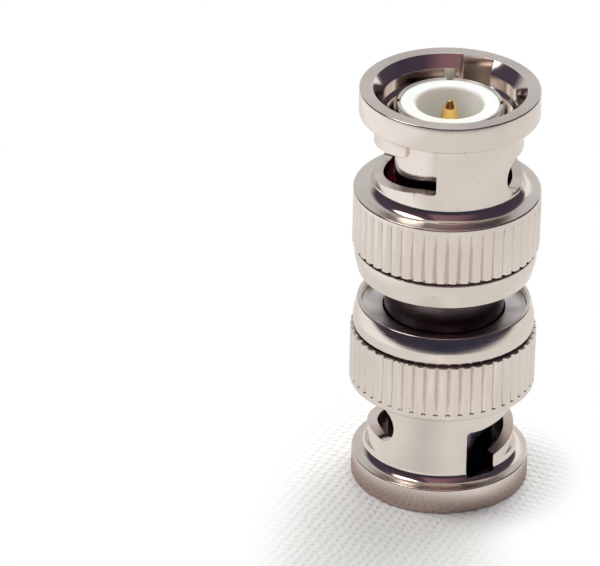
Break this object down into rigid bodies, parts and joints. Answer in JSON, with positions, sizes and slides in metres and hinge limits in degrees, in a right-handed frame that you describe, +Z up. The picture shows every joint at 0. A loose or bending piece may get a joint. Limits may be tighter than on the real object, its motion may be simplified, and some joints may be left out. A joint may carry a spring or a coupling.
{
  "type": "bayonet coaxial adapter",
  "caption": "Straight adapter that joins two bayonet coaxial sockets, with a fluted coupling nut at each end that turns and springs on a bare neck.",
  "frame": {"origin": "centre of the lower nut's front face, which the adapter stands on", "axes": "+Z up along the adapter's axis, -Y towards the viewer of the picture, +X to the viewer's right"},
  "size_m": [0.0144, 0.0144, 0.0337],
  "materials": {
    "nickel": "polished nickel plate",
    "gold": "polished gold plate",
    "white_insulator": "smooth white moulded plastic",
    "red_gasket": "soft red silicone",
    "spring_steel": "rolled spring steel",
    "washer_steel": "dull plated flat washer"
  },
  "bodies": {
    "adapter_body": {"centre_pin": "gold", "insulator": "white_insulator", "body_sleeve": "nickel", "lower_flange_ring": "nickel", "lower_gasket": "red_gasket", "lower_wave_spring": "spring_steel", "upper_flange_ring": "nickel", "upper_gasket": "red_gasket", "upper_wave_spring": "spring_steel"},
    "lower_spring_seat": {"lower_thrust_washer": "washer_steel"},
    "lower_nut": {"lower_coupling_nut": "nickel", "lower_retaining_washer": "washer_steel"},
    "upper_spring_seat": {"upper_thrust_washer": "washer_steel"},
    "upper_nut": {"upper_coupling_nut": "nickel", "upper_retaining_washer": "washer_steel"}
  },
  "joints": [
    {"name": "lower_nut_slide", "type": "slide", "parent": "adapter_body", "child": "lower_spring_seat", "axis": [0, 0, -1], "range_m": [0, 0.0007], "stiffness_N_per_m": 8000, "deforming": ["lower_wave_spring"]},
    {"name": "lower_nut_turn", "type": "hinge", "parent": "lower_spring_seat", "child": "lower_nut", "pos_m": [0, 0, 0.01], "axis": [0, 0, 1], "continuous": true},
    {"name": "upper_nut_slide", "type": "slide", "parent": "adapter_body", "child": "upper_spring_seat", "axis": [0, 0, 1], "range_m": [0, 0.0007], "stiffness_N_per_m": 8000, "deforming": ["upper_wave_spring"]},
    {"name": "upper_nut_turn", "type": "hinge", "parent": "upper_spring_seat", "child": "upper_nut", "pos_m": [0, 0, 0.0237], "axis": [0, 0, 1], "continuous": true}
  ]
}
